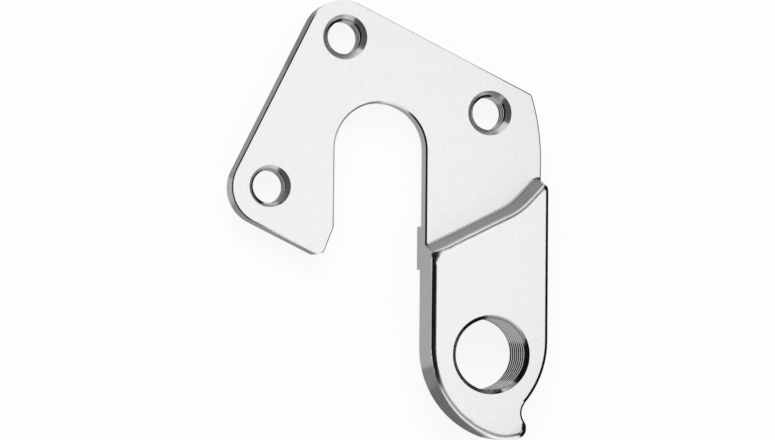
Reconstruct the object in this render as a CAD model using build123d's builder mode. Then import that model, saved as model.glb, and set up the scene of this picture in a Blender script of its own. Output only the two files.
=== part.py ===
from build123d import *
import os
from math import atan2, cos, degrees, radians, sin, sqrt, tan

# Bicycle derailleur hanger, one forged and milled piece of aluminium, in millimetres.
# The origin is the wheel's axle, in the plane of the face that lies on the frame.
# +Z is out of the front, +Y is up and +X points away from the long left edge.

# Thicknesses, from the face that lies on the frame
plate_thickness = 4.0
lobe_thickness = 8.0
pad_height = 0.6

# Axle slot, open at the bottom and flared at its left foot
slot_width = 11.8
flare_start_y = -9.75
flare_angle = 20.9
leg_corner_radius = 0.9

# Holes for the frame bolts, M5, and the metal kept beside them
top_hole = Vector(-4.7, 14.1)
right_hole = Vector(14.2, 4.9)
left_hole = Vector(-14.15, -4.9)
bolt_tap_radius = 2.1
bolt_sink_radius = 2.85
left_sink_radius = 2.65
bolt_back_radius = 2.35
sink_angle = 90.0
left_margin = 4.8
top_margin = 4.63
bottom_margin = 4.95
top_corner_radius = 4.6
left_corner_radius = 4.85

# Right shoulder of the plate
shoulder_x = 19.68
shoulder_y = -0.9
shoulder_corner_radius = 0.5

# Derailleur thread, M10 x 1, and the lobe that carries it
thread_centre = Vector(13.6, -25.78)
thread_tap_radius = 4.5
thread_sink_radius = 5.0
thread_back_radius = 4.9
lobe_right_x = 21.0
heel_radius = 12.0
toe_radius = 12.0

# Hook at the foot of the lobe, the stop for the derailleur, measured from the thread
hook_corner = thread_centre + Vector(5.35, -10.15)
hook_notch = thread_centre + Vector(3.62, -7.02)
underside_angle = 14.87
belly_depth = 1.167
hook_belly_radius = 5.5
hook_nose_radius = 1.2
hook_notch_radius = 1.85

# Step between plate and lobe: straight, a bend, steeper, a corner, then level
step_angle = 26.3
step_bend = Vector(16.86, -6.69)
step_bend_radius = 8.0
step_corner = Vector(20.05, -3.28)
step_corner_radius = 2.0
step_draft = 14.0
step_root_radius = 0.3

# Forged rim of the lobe, on a blank a little larger than the milled outline
rim_radius = 0.9
rim_stock = 0.05
right_edge_radius = 0.5
blank_notch_radius = 1.2
soft_corner_radius = 2.5
soft_corner_dome = 1.8
lobe_back_chamfer = 1.07

# Broken edges
outer_chamfer = 0.15
slot_front_chamfer = 0.22
slot_back_chamfer = 1.55

# Raised pad on the back: a band at the step, a neck and a boss round the thread
band_top_y = -9.6
band_bottom_y = -15.1
neck_width = 8.4
boss_radius = 6.2
pad_corner_radius = 1.2
pad_edge_radius = 0.25

# How far forms run into each other where they join, and room for cutters
overlap = 1.0
plate_overlap = 2.5
pad_root = 2.0
margin = 60.0


def heading(angle):
    return Vector(cos(radians(angle)), sin(radians(angle)))


def angle_between(start, end):
    return degrees(atan2(end.Y - start.Y, end.X - start.X))


def beside(point, angle, distance):
    # A point to the left of a line, seen along its angle
    return point + heading(angle + 90) * distance


def meet(p, p_angle, q, q_angle):
    # Where two straight edges cross, each given by a point and an angle
    u = heading(p_angle)
    v = heading(q_angle)
    gap = q - p
    return p + u * ((gap.X * v.Y - gap.Y * v.X) / (u.X * v.Y - u.Y * v.X))


# Corners of the plate, from lines parallel to the rows of bolt holes
lobe_left_x = slot_width / 2
left_angle = angle_between(left_hole, top_hole)
top_angle = angle_between(top_hole, right_hole)
left_side = beside(left_hole, left_angle, left_margin)
top_side = beside(top_hole, top_angle, top_margin)
bottom_side = beside(left_hole, top_angle, -bottom_margin)
flare_start = Vector(-lobe_left_x, flare_start_y)
leg_corner = meet(flare_start, 270 - flare_angle, bottom_side, top_angle)
left_corner = meet(left_side, left_angle, bottom_side, top_angle)
top_corner = meet(left_side, left_angle, top_side, top_angle)
right_corner = meet(top_side, top_angle, Vector(shoulder_x, 0), 90)

# Round foot of the lobe: the toe runs from the right side into the notch of the hook,
# and the heel from the left side to the underside, which cuts it a little above its lowest point
toe_reach = hook_notch.X - (lobe_right_x - toe_radius)
toe_centre = Vector(lobe_right_x - toe_radius, hook_notch.Y + sqrt(toe_radius**2 - toe_reach**2))
toe_sweep = angle_between(toe_centre, hook_notch)
underside = heading(underside_angle)
inward = heading(underside_angle + 90)
heel_height = heel_radius - belly_depth
heel_x = lobe_left_x + heel_radius
heel_y = hook_corner.Y + (heel_height - inward.X * (heel_x - hook_corner.X)) / inward.Y
heel_centre = Vector(heel_x, heel_y)
heel_end = heel_centre - inward * heel_height - underside * sqrt(heel_radius**2 - heel_height**2)
heel_sweep = 180 + angle_between(heel_centre, heel_end)

# The belly's fillet ends where the nose's begins, at the latest
hook_face_angle = angle_between(hook_corner, hook_notch)
nose_run = hook_nose_radius / tan(radians((180 + underside_angle - hook_face_angle) / 2))
belly_reach = (heel_centre - hook_corner).dot(underside) + nose_run
belly_limit = heel_radius - (belly_reach**2 / belly_depth + belly_depth) / 2
belly_radius = min(hook_belly_radius, belly_limit)

# Milled outline of the whole piece
with BuildSketch() as outline:
    with BuildLine():
        arch = CenterArc((0, 0), lobe_left_x, 0, 180)
        Line(arch @ 1, flare_start)
        Polyline(flare_start, leg_corner, left_corner, top_corner, right_corner)
        shoulder = TangentArc((lobe_right_x, shoulder_y), right_corner, tangent=(0, 1))
        toe = CenterArc(toe_centre, toe_radius, 0, toe_sweep)
        heel = CenterArc(heel_centre, heel_radius, 180, heel_sweep)
        Line(shoulder @ 0, toe @ 0)
        Polyline(heel @ 1, hook_corner, toe @ 1)
        Line(heel @ 0, arch @ 0)
    make_face()
    outline_corners = (
        (leg_corner, leg_corner_radius),
        (left_corner, left_corner_radius),
        (top_corner, top_corner_radius),
        (right_corner, shoulder_corner_radius),
        (heel @ 1, belly_radius),
        (hook_corner, hook_nose_radius),
        (toe @ 1, hook_notch_radius),
    )
    for corner, radius in outline_corners:
        fillet(outline.vertices().sort_by_distance(corner)[0], radius)

# Everything on the plate's side of the step, at the height of the plate's front,
# and as much of it as is left at the back, where the drafted step stands further in
draft_run = tan(radians(step_draft))
step_start = step_bend - heading(step_angle) * margin
far_right = Vector(lobe_right_x + margin, step_corner.Y)
with BuildSketch() as step_side:
    with BuildLine():
        step_line = FilletPolyline(
            step_start,
            step_bend,
            step_corner,
            far_right,
            radius=(step_bend_radius, step_corner_radius),
        )
        Polyline(far_right, (far_right.X, margin), (step_start.X, margin), step_start)
    make_face()
with BuildSketch() as step_foot:
    offset(step_side.sketch, amount=-plate_thickness * draft_run)

# Outline of the forged blank of the lobe, which fills the notch and runs past the right side
hook_nose = outline.edges().filter_by(GeomType.CIRCLE).sort_by_distance(hook_corner)[0]
nose_centre = hook_nose.arc_center
nose_x = nose_centre.X + hook_nose_radius + rim_stock
blank_right_x = lobe_right_x + 2 * overlap
blank_notch = Vector(nose_x, (toe @ 1).Y - rim_radius)
with BuildSketch() as blank:
    offset(outline.sketch, amount=rim_stock)
    with BuildLine():
        Polyline(
            nose_centre,
            (nose_x, nose_centre.Y),
            blank_notch,
            (blank_right_x, blank_notch.Y),
            (blank_right_x, 0),
            (nose_centre.X, 0),
            close=True,
        )
    make_face()
    fillet(blank.vertices().sort_by_distance(blank_notch)[0], blank_notch_radius)
    add(step_foot.sketch, mode=Mode.SUBTRACT)

# Cutter for the soft corner of the lobe's face, where the step meets the slot's side:
# a dome round a point inside the corner, level with the face where it leaves it
crest_offset = draft_run * (lobe_thickness - plate_thickness)
crest_point = beside(step_bend, step_angle, -crest_offset)
inset = rim_radius + soft_corner_radius
corner_inside = beside(crest_point, step_angle, -inset)
soft_centre = meet(corner_inside, step_angle, Vector(lobe_left_x + inset, 0), 90)
dome_edge = soft_corner_radius + soft_corner_dome
with BuildPart() as soft_corner:
    with BuildSketch(Plane.XY.offset(lobe_thickness - soft_corner_dome)):
        with BuildLine():
            to_left = soft_centre - Vector(dome_edge, 0)
            to_step = soft_centre + heading(step_angle + 90) * dome_edge
            rounding = RadiusArc(to_left, to_step, dome_edge)
            Line(to_step, soft_centre)
            Line(soft_centre, to_left)
        make_face()
    extrude(amount=soft_corner_dome + overlap)
    dome_origin = (soft_centre.X, soft_centre.Y, lobe_thickness)
    with BuildSketch(Plane(origin=dome_origin, x_dir=(1, 0, 0), z_dir=(0, -1, 0))):
        with BuildLine():
            dome = CenterArc((soft_corner_radius, -soft_corner_dome), soft_corner_dome, 0, 90)
            Polyline(dome @ 1, (0, 0), (0, -soft_corner_dome), dome @ 0)
        make_face()
    revolve(axis=Axis((soft_centre.X, soft_centre.Y, 0), (0, 0, 1)), mode=Mode.SUBTRACT)

# Lobe: the forged blank with a drafted step and soft rim, milled back to the outline
with BuildPart() as lobe:
    add(blank.sketch)
    extrude(amount=lobe_thickness)
    add(step_foot.sketch)
    extrude(amount=lobe_thickness + overlap, taper=-step_draft, mode=Mode.SUBTRACT)
    fillet(lobe.edges().filter_by_position(Axis.Z, lobe_thickness, lobe_thickness), rim_radius)
    back_left = lobe.edges().filter_by_position(Axis.Z, 0, 0).sort_by(Axis.X)[0]
    chamfer(back_left, lobe_back_chamfer + rim_stock)
    add(soft_corner.part, mode=Mode.SUBTRACT)
    add(outline.sketch)
    extrude(amount=margin, both=True, mode=Mode.INTERSECT)

# The hook is parted off at its notch, because only the side above the notch is rounded
notch = outline.edges().filter_by(GeomType.CIRCLE).sort_by_distance(toe @ 1)[0]
notch_end = notch.vertices().sort_by(Axis.Y)[-1]
notch_plane = Plane(origin=notch_end, z_dir=Vector(toe_centre - Vector(*notch_end)).rotate(Axis.Z, -90))
with BuildPart() as hook:
    add(lobe.part)
    split(bisect_by=notch_plane, keep=Keep.BOTTOM)
with BuildPart() as lobe_body:
    add(lobe.part)
    split(bisect_by=notch_plane, keep=Keep.TOP)
    right_edges = lobe_body.edges().filter_by(Axis.Y).group_by(Axis.X)[-1]
    fillet(right_edges.sort_by(Axis.Z)[-1], right_edge_radius)

# Raised pad on the back: a band below the step, a neck and a round boss
with BuildSketch(Plane.XY.offset(-pad_height)) as pad_outline:
    with BuildLine():
        Polyline(
            (lobe_left_x, band_top_y),
            (lobe_right_x, band_top_y),
            (lobe_right_x, band_bottom_y),
            (lobe_left_x, band_bottom_y),
            close=True,
        )
    make_face()
    with Locations((thread_centre.X, thread_centre.Y)):
        Circle(boss_radius)
        Rectangle(neck_width, band_bottom_y - thread_centre.Y, align=(Align.CENTER, Align.MIN))
    inside = (lobe_left_x, lobe_right_x, (False, False))
    fillet(pad_outline.vertices().filter_by_position(Axis.X, *inside), pad_corner_radius)
with BuildPart() as pad:
    add(pad_outline.sketch)
    extrude(amount=pad_height + pad_root)
    back_of_pad = pad.edges().filter_by_position(Axis.Z, -pad_height, -pad_height)
    fillet(back_of_pad.filter_by(Axis.X), pad_edge_radius)

# The whole piece, from the plate, which runs a little way under the lobe
cut_plane = Plane(
    origin=beside(step_bend, step_angle, -plate_overlap),
    z_dir=heading(step_angle + 90),
)
with BuildPart() as hanger:
    add(outline.sketch)
    extrude(amount=plate_thickness)
    split(bisect_by=cut_plane, keep=Keep.TOP)

    # Broken edges: one edge brings with it all that run on smoothly from it
    arch_top = Vector(0, lobe_left_x, 0)
    top_edge = Vector(top_side.X, top_side.Y, 0)
    front = Vector(0, 0, plate_thickness)
    chamfer(hanger.edges().sort_by_distance(arch_top)[0], slot_back_chamfer)
    chamfer(hanger.edges().sort_by_distance(top_edge + front)[0], outer_chamfer)
    chamfer(hanger.edges().sort_by_distance(arch_top + front)[0], slot_front_chamfer)
    chamfer(hanger.edges().sort_by_distance(top_edge)[0], outer_chamfer)

    # Lobe and hook, with a small fillet along the root of the step
    add(lobe_body.part)
    add(hook.part)
    face_edges = hanger.edges().filter_by_position(Axis.Z, plate_thickness, plate_thickness)
    root_point = step_bend + front
    fillet(face_edges.sort_by_distance(root_point)[0], step_root_radius)
    add(pad.part)

    # Holes for the frame bolts, and the hole for the derailleur's bolt
    bolt_holes = (
        (top_hole, bolt_sink_radius),
        (right_hole, bolt_sink_radius),
        (left_hole, left_sink_radius),
    )
    for hole, sink_radius in bolt_holes:
        with Locations((hole.X, hole.Y, plate_thickness)):
            CounterSinkHole(bolt_tap_radius, sink_radius, counter_sink_angle=sink_angle)
        with Locations(Plane(origin=(hole.X, hole.Y, 0), z_dir=(0, 0, -1))):
            CounterSinkHole(bolt_tap_radius, bolt_back_radius, counter_sink_angle=sink_angle)
    with Locations((thread_centre.X, thread_centre.Y, lobe_thickness)):
        CounterSinkHole(thread_tap_radius, thread_sink_radius, counter_sink_angle=sink_angle)
    with Locations(Plane(origin=(thread_centre.X, thread_centre.Y, -pad_height), z_dir=(0, 0, -1))):
        CounterSinkHole(thread_tap_radius, thread_back_radius, counter_sink_angle=sink_angle)

hanger.part.label = "hanger"
os.makedirs("parts", exist_ok=True)
export_step(hanger.part, "parts/hanger.step")
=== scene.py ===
import math
import bpy
from mathutils import Matrix, Vector


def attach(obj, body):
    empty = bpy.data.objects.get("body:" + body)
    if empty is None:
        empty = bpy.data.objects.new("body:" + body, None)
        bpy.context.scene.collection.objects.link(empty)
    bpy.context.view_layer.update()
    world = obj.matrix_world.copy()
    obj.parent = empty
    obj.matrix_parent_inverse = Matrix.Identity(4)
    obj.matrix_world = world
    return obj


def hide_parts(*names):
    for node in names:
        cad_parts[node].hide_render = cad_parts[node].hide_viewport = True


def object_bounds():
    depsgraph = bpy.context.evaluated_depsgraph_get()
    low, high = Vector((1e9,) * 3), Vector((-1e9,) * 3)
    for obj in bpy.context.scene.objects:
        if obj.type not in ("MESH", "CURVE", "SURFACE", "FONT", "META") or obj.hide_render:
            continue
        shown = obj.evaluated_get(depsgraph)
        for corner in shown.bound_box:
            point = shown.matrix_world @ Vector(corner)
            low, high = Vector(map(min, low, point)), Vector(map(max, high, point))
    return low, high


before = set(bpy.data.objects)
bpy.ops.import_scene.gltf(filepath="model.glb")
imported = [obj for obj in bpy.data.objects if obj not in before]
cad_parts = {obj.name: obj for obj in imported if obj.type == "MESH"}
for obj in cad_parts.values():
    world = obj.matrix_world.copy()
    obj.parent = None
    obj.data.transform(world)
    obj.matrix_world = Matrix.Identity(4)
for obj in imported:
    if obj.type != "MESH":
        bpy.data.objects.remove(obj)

# Bicycle derailleur hanger in blasted and anodised aluminium, lying on a white table.
# The frame is in metres: +Z out of the front, +Y up in the picture, +X to the right.

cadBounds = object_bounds()
mm = 0.001
white = (1, 1, 1, 1)


def selectOnly(piece):
    bpy.ops.object.select_all(action="DESELECT")
    piece.select_set(True)
    bpy.context.view_layer.objects.active = piece


def enterEdit():
    bpy.ops.object.mode_set(mode="EDIT")


def leaveEdit():
    bpy.ops.object.mode_set(mode="OBJECT")


def editAll(piece):
    selectOnly(piece)
    enterEdit()
    bpy.ops.mesh.select_all(action="SELECT")


def toLinear(hexColour):
    channels = [int(hexColour[i:i + 2], 16) / 255 for i in (1, 3, 5)]
    linear = [c / 12.92 if c <= 0.04045 else ((c + 0.055) / 1.055) ** 2.4 for c in channels]
    return (*linear, 1.0)


def addNode(tree, kind, settings={}, links={}):
    node = tree.nodes.new(kind)
    for name, value in settings.items():
        if name in node.inputs:
            node.inputs[name].default_value = value
        else:
            setattr(node, name, value)
    for socket, source in links.items():
        tree.links.new(source, node.inputs[socket])
    return node


def newMaterial(name):
    material = bpy.data.materials.new(name)
    material.use_nodes = True
    material.node_tree.nodes.clear()
    return material, material.node_tree


# Threads: a tap like the real one is made for each hole and cut out of the hanger. The
# three bolt holes share theirs.
boltTap = {
    "crest": 2.48,  # mm, the tap's radius over its ridges
    "sink": 3.1,  # mm, a little past the countersink's rim
    "pitch": 0.8,  # mm
    "from": -2.0,  # mm, height of the tap's lower end
    "to": 6.0,  # mm, height of its upper end
}
threadCut = {
    "derailleur": {
        "centre": (13.6, -25.78),  # mm
        "crest": 4.97,
        "sink": 4.97,  # no countersink: its chamfers are finished as the thread is
        "pitch": 1.0,
        "from": -2.0,
        "to": 10.0,
    },
    "topBolt": {**boltTap, "centre": (-4.7, 14.1)},
    "rightBolt": {**boltTap, "centre": (14.2, 4.9)},
    "leftBolt": {**boltTap, "centre": (-14.15, -4.9)},
    "stepsPerTurn": 72,
    "crestShare": 0.125,  # flat crest of a 60 degree thread, as a share of the pitch
    "flankAngle": 30,  # degrees, half of the thread's 60
    "mergeDistance": 0.001,  # mm
}
holes = ("derailleur", "topBolt", "rightBolt", "leftBolt")


def makeTap(name, thread):
    pitch = thread["pitch"] * mm
    crest = thread["crest"] * mm
    flat = pitch * threadCut["crestShare"]
    root = crest - (pitch - flat) / 2 / math.tan(math.radians(threadCut["flankAngle"]))
    # A turn to spare at each end, which the bisects below take off
    start = thread["from"] * mm - pitch
    turns = math.ceil((thread["to"] - thread["from"]) / thread["pitch"]) + 2
    profile = [
        (root, 0, start),
        (crest, 0, start + (pitch - flat) / 2),
        (crest, 0, start + (pitch + flat) / 2),
        (root, 0, start + pitch),
    ]
    bpy.ops.mesh.primitive_plane_add(size=pitch)
    tap = bpy.context.object
    tap.name = name
    editAll(tap)
    bpy.ops.mesh.delete(type="ONLY_FACE")
    leaveEdit()
    order = [0, 1, 3, 2]  # the plane's corners in turn round its rim
    for corner, place in zip(order, profile):
        tap.data.vertices[corner].co = place
    enterEdit()
    bpy.ops.mesh.select_all(action="DESELECT")
    bpy.ops.mesh.select_mode(type="EDGE")
    leaveEdit()
    for edge in tap.data.edges:
        edge.select = set(edge.vertices) == {order[0], order[3]}
    enterEdit()
    bpy.ops.mesh.delete(type="EDGE")
    leaveEdit()
    helix = tap.modifiers.new("Helix", "SCREW")
    helix.axis = "Z"
    helix.steps = threadCut["stepsPerTurn"]
    helix.render_steps = threadCut["stepsPerTurn"]
    helix.screw_offset = pitch
    helix.iterations = turns
    bpy.ops.object.modifier_apply(modifier="Helix")
    editAll(tap)
    bpy.ops.mesh.remove_doubles(threshold=threadCut["mergeDistance"] * mm)
    for height, up in ((thread["from"], -1), (thread["to"], 1)):
        bpy.ops.mesh.select_all(action="SELECT")
        bpy.ops.mesh.bisect(
            plane_co=(0, 0, height * mm),
            plane_no=(0, 0, up),
            use_fill=True,
            clear_outer=True,
        )
    bpy.ops.mesh.select_all(action="SELECT")
    bpy.ops.transform.translate(value=(thread["centre"][0] * mm, thread["centre"][1] * mm, 0))
    bpy.ops.mesh.normals_make_consistent(inside=False)
    leaveEdit()
    return tap


hangerFinish = {
    "mergeDistance": 0.002,  # mm
    "notch": (19.5, -33.09),  # mm, the hook's notch, whose front rim is broken by a small cone
    "notchRadius": 1.85,  # mm
    "notchFaces": 96,
    "brokenEdge": 0.28,  # mm
    "smoothAngle": 28,  # degrees
    "largeFaceWeight": 100,
    # Faces steeper than sideNormal get the sides' painted shade
    "sideNormal": 0.35,  # faces steeper than this are the milled sides
    "levelNormal": 0.99,  # faces flatter than this are the front and the back
    "sunkNormal": 0.707,  # tilt of a 90 degree countersink, which a thread's ridges don't have
    "sunkSpread": 0.06,
}


def makeNotchCone(top):
    # A 45 degree cone that meets the notch's wall one broken edge below the top
    radius = hangerFinish["notchRadius"]
    broken = hangerFinish["brokenEdge"]
    bpy.ops.mesh.primitive_cone_add(
        vertices=hangerFinish["notchFaces"],
        radius1=(radius - broken) * mm,
        radius2=(radius + 2 * broken) * mm,
        depth=3 * broken * mm,
        location=(
            hangerFinish["notch"][0] * mm,
            hangerFinish["notch"][1] * mm,
            top - broken / 2 * mm,
        ),
    )
    cone = bpy.context.object
    cone.name = "notch_cone"
    return cone


def makeHanger():
    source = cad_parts["hanger"]
    hanger = source.copy()
    hanger.data = source.data.copy()
    hanger.name = "hanger_metal"
    bpy.context.scene.collection.objects.link(hanger)
    selectOnly(hanger)
    bpy.ops.mesh.customdata_custom_splitnormals_clear()
    editAll(hanger)
    bpy.ops.mesh.remove_doubles(threshold=hangerFinish["mergeDistance"] * mm)
    leaveEdit()
    tools = [makeNotchCone(max(corner.co.z for corner in hanger.data.vertices))]
    for hole in holes:
        tools.append(makeTap("tap_" + hole, threadCut[hole]))
    for tool in tools:
        selectOnly(hanger)
        cut = hanger.modifiers.new("Cut", "BOOLEAN")
        cut.operation = "DIFFERENCE"
        cut.solver = "EXACT"
        cut.object = tool
        bpy.ops.object.modifier_apply(modifier="Cut")
        bpy.data.objects.remove(tool)
    selectOnly(hanger)
    bpy.ops.object.shade_smooth_by_angle(angle=math.radians(hangerFinish["smoothAngle"]))
    weighted = hanger.modifiers.new("Large faces lead", "WEIGHTED_NORMAL")
    weighted.keep_sharp = True
    weighted.weight = hangerFinish["largeFaceWeight"]
    bpy.ops.object.modifier_apply(modifier="Large faces lead")
    print("hanger:", len(hanger.data.polygons), "faces")
    return hanger


# Fine grain that all the aluminium has. It makes the flat faces faintly speckled and breaks
# up what the rims mirror.
grain = {
    "size": 0.26,  # mm, drawn larger than the real pits so that it shows
    "detail": 3.0,
    "roughness": 0.6,
    "strength": 0.5,
}

# Aluminium, bead blasted and then clear anodised. The pits scatter part of the light and
# the metal under the clear layer mirrors the rest, so the flat faces look pale, dry and
# slightly speckled from everywhere.
blastedAluminium = {
    "name": "blasted_aluminium",
    "colour": "#FFFFFE",
    "darkColour": "#E6E6E5",
    "metallic": 0.55,
    "roughness": 0.26,
    "grainDepth": 0.010,  # mm
}

# Its rounded rims, rubbed smooth in the tumbling drum: pure metal with a satin sheen, in
# which the studio shows as the photograph's dark and bright lines
rubbedAluminium = {
    "name": "rubbed_aluminium",
    "colour": "#FFFFFE",
    "darkColour": "#E4E4E3",
    "metallic": 1.0,
    "roughness": 0.21,
    "grainDepth": 0.010,
}

# The upright sides, which were milled, painted greyer than the faces: painted shade that
# stands in for the darker table they mirror
sideAluminiumPaintedShade = {
    "name": "side_aluminium_painted_shade",
    "colour": "#9C9C9C",
    "darkColour": "#888888",
    "metallic": 0.7,
    "roughness": 0.30,
    "grainDepth": 0.010,
}

# The threads, cut last and left bare: smooth, so that each ridge catches a fine bright line
cutAluminium = {
    "name": "cut_aluminium",
    "colour": "#D2D2D2",
    "darkColour": "#C8C8C8",
    "metallic": 1.0,
    "roughness": 0.13,
    "grainDepth": 0.002,
}

# The bolt holes' countersinks, which still carry the cutter's fine rings: these scatter a
# little light, so that the side that mirrors the dark card is a clear grey and not black
countersunkAluminium = {
    "name": "countersunk_aluminium",
    "colour": "#E0E0E0",
    "darkColour": "#D4D4D4",
    "metallic": 0.88,
    "roughness": 0.2,
    "grainDepth": 0.010,
}

finishes = (
    blastedAluminium,
    rubbedAluminium,
    sideAluminiumPaintedShade,
    cutAluminium,
    countersunkAluminium,
)
mixSockets = {"from": 6, "to": 7, "result": 2}  # the Mix node's sockets for colours


def makeAluminium(settings):
    material, tree = newMaterial(settings["name"])
    place = addNode(tree, "ShaderNodeTexCoord").outputs["Object"]
    pits = addNode(
        tree,
        "ShaderNodeTexNoise",
        {
            "Scale": 1 / (grain["size"] * mm),
            "Detail": grain["detail"],
            "Roughness": grain["roughness"],
        },
        {"Vector": place},
    )
    colour = addNode(
        tree,
        "ShaderNodeMix",
        {"data_type": "RGBA"},
        {"Factor": pits.outputs["Fac"]},
    )
    colour.inputs[mixSockets["from"]].default_value = toLinear(settings["colour"])
    colour.inputs[mixSockets["to"]].default_value = toLinear(settings["darkColour"])
    bump = addNode(
        tree,
        "ShaderNodeBump",
        {"Strength": grain["strength"], "Distance": settings["grainDepth"] * mm},
        {"Height": pits.outputs["Fac"]},
    )
    shader = addNode(
        tree,
        "ShaderNodeBsdfPrincipled",
        {"Metallic": settings["metallic"], "Roughness": settings["roughness"]},
        {"Base Color": colour.outputs[mixSockets["result"]], "Normal": bump.outputs["Normal"]},
    )
    addNode(tree, "ShaderNodeOutputMaterial", links={"Surface": shader.outputs["BSDF"]})
    return material


def finishOf(face):
    tilt = abs(face.normal.z)
    chosen = rubbedAluminium
    if tilt > hangerFinish["levelNormal"]:
        chosen = blastedAluminium
    elif tilt < hangerFinish["sideNormal"]:
        chosen = sideAluminiumPaintedShade
    for hole in holes:
        crest = threadCut[hole]["crest"] * mm
        sink = threadCut[hole]["sink"] * mm
        place = Vector((*threadCut[hole]["centre"], 0)) * mm
        across = Vector((face.center.x - place.x, face.center.y - place.y)).length
        sunk = abs(tilt - hangerFinish["sunkNormal"]) < hangerFinish["sunkSpread"]
        if across < crest and not (sunk and sink > crest):
            chosen = cutAluminium
        elif across < sink and chosen is not blastedAluminium:
            chosen = countersunkAluminium
    return chosen


def finishHanger(hanger):
    hanger.data.materials.clear()
    for finish in finishes:
        hanger.data.materials.append(makeAluminium(finish))
    for face in hanger.data.polygons:
        face.material_index = finishes.index(finishOf(face))


# Matt white table under the part. It scatters the lamps' light and so keeps the part's faint
# shadow, and it has a steady glow, so that the camera sees it nearly as white as the dome.
table = {
    "halfSize": 3.0,  # m
    "gap": 0.01,  # mm, below the part
    "colour": "#F9F9F8",
    "eyeGlow": 0.88,  # share of the white that does not depend on the lamps, to the camera
    "metalGlow": 0.6,  # and to the metal
}


def makeTable():
    bpy.ops.mesh.primitive_plane_add(
        size=2 * table["halfSize"],
        location=(0, 0, cadBounds[0][2] - table["gap"] * mm),
    )
    top = bpy.context.object
    top.name = "table"
    material, tree = newMaterial("matt_white_table")
    paper = addNode(tree, "ShaderNodeBsdfDiffuse", {"Color": toLinear(table["colour"])})
    glow = addNode(tree, "ShaderNodeEmission", {"Color": white, "Strength": 1.0})
    path = addNode(tree, "ShaderNodeLightPath").outputs
    toMetal = addNode(
        tree,
        "ShaderNodeMath",
        {"operation": "MULTIPLY"},
        {0: path["Is Glossy Ray"]},
    )
    toMetal.inputs[1].default_value = table["metalGlow"]
    share = addNode(
        tree,
        "ShaderNodeMath",
        {"operation": "MULTIPLY_ADD"},
        {0: path["Is Camera Ray"], 2: toMetal.outputs[0]},
    )
    share.inputs[1].default_value = table["eyeGlow"]
    mixed = addNode(
        tree,
        "ShaderNodeMixShader",
        links={0: share.outputs[0], 1: paper.outputs["BSDF"], 2: glow.outputs["Emission"]},
    )
    addNode(tree, "ShaderNodeOutputMaterial", links={"Surface": mixed.outputs["Shader"]})
    top.data.materials.append(material)


# Studio: a white dome, a soft key light, black cards to the left and right of the part,
# grey cards above and below it, and dark and grey sheets on the table beside the walls that
# mirror them; the sheets are painted shade, standing in for the table's shade there. Only the
# metal sees cards and sheets: they give its rims and walls the photograph's dark lines and
# greys.
studio = {
    "domeDiffuse": 0.6,
    "keyAngle": 40,  # degrees across, which softens its shadow
    "keyStrength": 1.4,
    "keyFrom": (-0.1, 0.55, 1.0),
    "cardRadius": 50.0,  # mm
    "cardCentre": (1.0, -8.9),  # mm
    "cardFaces": 180,  # round the full circle
    "cards": {  # from and to in degrees round the part, heights in mm
        "left_card": {"from": 120, "to": 236, "low": 0.0, "high": 130.0, "colour": "#161616"},
        "right_card": {"from": -58, "to": 80, "low": 0.0, "high": 64.0, "colour": "#161616"},
        "upper_card": {"from": 80, "to": 120, "low": 17.0, "high": 70.0, "colour": "#949494"},
        "lower_card": {"from": 236, "to": 302, "low": 17.0, "high": 70.0, "colour": "#A6A6A6"},
    },
    "sheetGap": 0.01,  # mm, above the part's lowest point
    # The sheets are painted shade: darker patches of table that only the metal mirrors
    "sheets": {  # corners in mm
        "left_shade_sheet": {"low": (-75.0, -70.0), "high": (-23.0, 40.0), "colour": "#161616"},
        "right_shade_sheet": {"low": (25.0, -50.0), "high": (75.0, 30.0), "colour": "#161616"},
        "shoulder_shade_sheet": {"low": (-23.0, 11.0), "high": (-8.0, 19.0), "colour": "#A6A6A6"},
        "flank_shade_sheet": {"low": (-23.0, -3.5), "high": (-8.0, 11.0), "colour": "#C4C4C4"},
        "leg_shade_sheet": {"low": (-23.0, -14.5), "high": (-8.0, -7.5), "colour": "#BEBEBE"},
        "lobe_shade_sheet": {"low": (-23.0, -28.0), "high": (-4.0, -14.5), "colour": "#1C1C1C"},
        "heel_top_shade_sheet": {"low": (-23.0, -31.0), "high": (10.0, -28.0), "colour": "#B0B0B0"},
        "heel_shade_sheet": {"low": (-23.0, -70.0), "high": (10.0, -31.0), "colour": "#868686"},
        "foot_shade_sheet": {"low": (10.0, -40.0), "high": (14.5, -33.0), "colour": "#868686"},
    },
}


def hideFromAllButMetal(piece, colour):
    material, tree = newMaterial(piece.name)
    board = addNode(tree, "ShaderNodeEmission", {"Color": toLinear(colour)})
    addNode(tree, "ShaderNodeOutputMaterial", links={"Surface": board.outputs["Emission"]})
    piece.data.materials.append(material)
    piece.visible_camera = False
    piece.visible_diffuse = False
    piece.visible_shadow = False
    piece.visible_transmission = False


# A sheet of painted shade on the table, seen only in the metal's reflections
def makeShadeSheet(name, sheet):
    (lowX, lowY), (highX, highY) = sheet["low"], sheet["high"]
    bpy.ops.mesh.primitive_plane_add(
        size=mm,
        location=(
            (lowX + highX) / 2 * mm,
            (lowY + highY) / 2 * mm,
            cadBounds[0][2] + studio["sheetGap"] * mm,
        ),
    )
    flat = bpy.context.object
    flat.name = name
    flat.scale = (highX - lowX, highY - lowY, 1)
    hideFromAllButMetal(flat, sheet["colour"])


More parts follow.
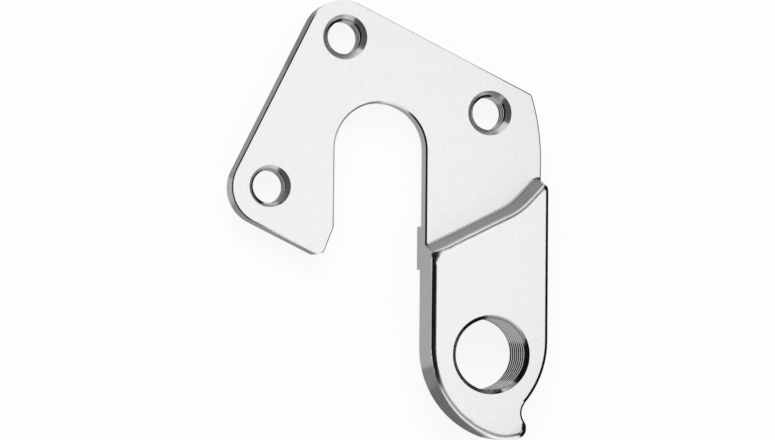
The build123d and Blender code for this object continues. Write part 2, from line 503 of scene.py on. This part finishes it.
def makeCard(name, card):
    bpy.ops.mesh.primitive_cylinder_add(
        vertices=studio["cardFaces"],
        radius=studio["cardRadius"] * mm,
        depth=(card["high"] - card["low"]) * mm,
        end_fill_type="NOTHING",
        location=(
            studio["cardCentre"][0] * mm,
            studio["cardCentre"][1] * mm,
            (card["high"] + card["low"]) * mm / 2,
        ),
    )
    wall = bpy.context.object
    wall.name = name
    enterEdit()
    bpy.ops.mesh.select_mode(type="FACE")
    bpy.ops.mesh.select_all(action="DESELECT")
    leaveEdit()
    # The faces outside the card's angles are taken away
    middle = math.radians((card["from"] + card["to"]) / 2)
    reach = math.cos(math.radians((card["to"] - card["from"]) / 2))
    for face in wall.data.polygons:
        outward = Vector((face.center.x, face.center.y, 0)).normalized()
        face.select = outward.dot(Vector((math.cos(middle), math.sin(middle), 0))) < reach
    enterEdit()
    bpy.ops.mesh.delete(type="FACE")
    leaveEdit()
    hideFromAllButMetal(wall, card["colour"])


def whiteToEye(tree):
    # 1 for rays from the camera and for those that metal or glass sends on
    path = addNode(tree, "ShaderNodeLightPath").outputs
    direct = addNode(
        tree,
        "ShaderNodeMath",
        {"operation": "MAXIMUM"},
        {0: path["Is Camera Ray"], 1: path["Is Glossy Ray"]},
    )
    sentOn = addNode(
        tree,
        "ShaderNodeMath",
        {"operation": "MAXIMUM"},
        {0: direct.outputs[0], 1: path["Is Transmission Ray"]},
    )
    return sentOn.outputs[0]


def makeStudio():
    world = bpy.data.worlds.new("studio")
    bpy.context.scene.world = world
    world.use_nodes = True
    tree = world.node_tree
    tree.nodes.clear()
    strength = addNode(
        tree,
        "ShaderNodeMapRange",
        {"To Min": studio["domeDiffuse"], "To Max": 1.0},
        {"Value": whiteToEye(tree)},
    )
    dome = addNode(
        tree,
        "ShaderNodeBackground",
        {"Color": white},
        {"Strength": strength.outputs["Result"]},
    )
    addNode(tree, "ShaderNodeOutputWorld", links={"Surface": dome.outputs["Background"]})

    key = bpy.data.lights.new("key", "SUN")
    key.energy = studio["keyStrength"]
    key.angle = math.radians(studio["keyAngle"])
    lamp = bpy.data.objects.new("key", key)
    bpy.context.scene.collection.objects.link(lamp)
    lamp.rotation_euler = Vector(studio["keyFrom"]).to_track_quat("Z", "Y").to_euler()
    lamp.visible_glossy = False

    for name, card in studio["cards"].items():
        makeCard(name, card)
    for name, sheet in studio["sheets"].items():
        makeShadeSheet(name, sheet)


# The photograph's view, from the lower left and nearly straight on to the front
camera = {
    "aim": (0.96, -8.92, 4.0),  # mm
    "towards": (-0.2205, -0.0319, 0.9748),
    "up": (-0.0087, 1.0, 0.0),
    "distance": 440.3,  # mm
    "nearest": 10.0,  # mm, nothing closer is drawn
    "lens": 161.98,
    "sensor": 36.0,
}


def makeCamera():
    data = bpy.data.cameras.new("camera")
    data.lens = camera["lens"]
    data.sensor_width = camera["sensor"]
    data.sensor_fit = "HORIZONTAL"
    data.clip_start = camera["nearest"] * mm
    eye = bpy.data.objects.new("camera", data)
    bpy.context.scene.collection.objects.link(eye)
    back = Vector(camera["towards"]).normalized()
    right = Vector(camera["up"]).cross(back).normalized()
    up = back.cross(right)
    place = (Vector(camera["aim"]) + back * camera["distance"]) * mm
    turn = Matrix((right, up, back)).transposed().to_4x4()
    eye.matrix_world = Matrix.Translation(place) @ turn
    bpy.context.scene.camera = eye


bpy.context.scene.view_settings.view_transform = "Standard"

makeCamera()
print("camera set")

hanger = makeHanger()
finishHanger(hanger)
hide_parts("hanger")
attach(hanger, "root")
print("hanger made")

makeTable()
makeStudio()
print("table and studio set")
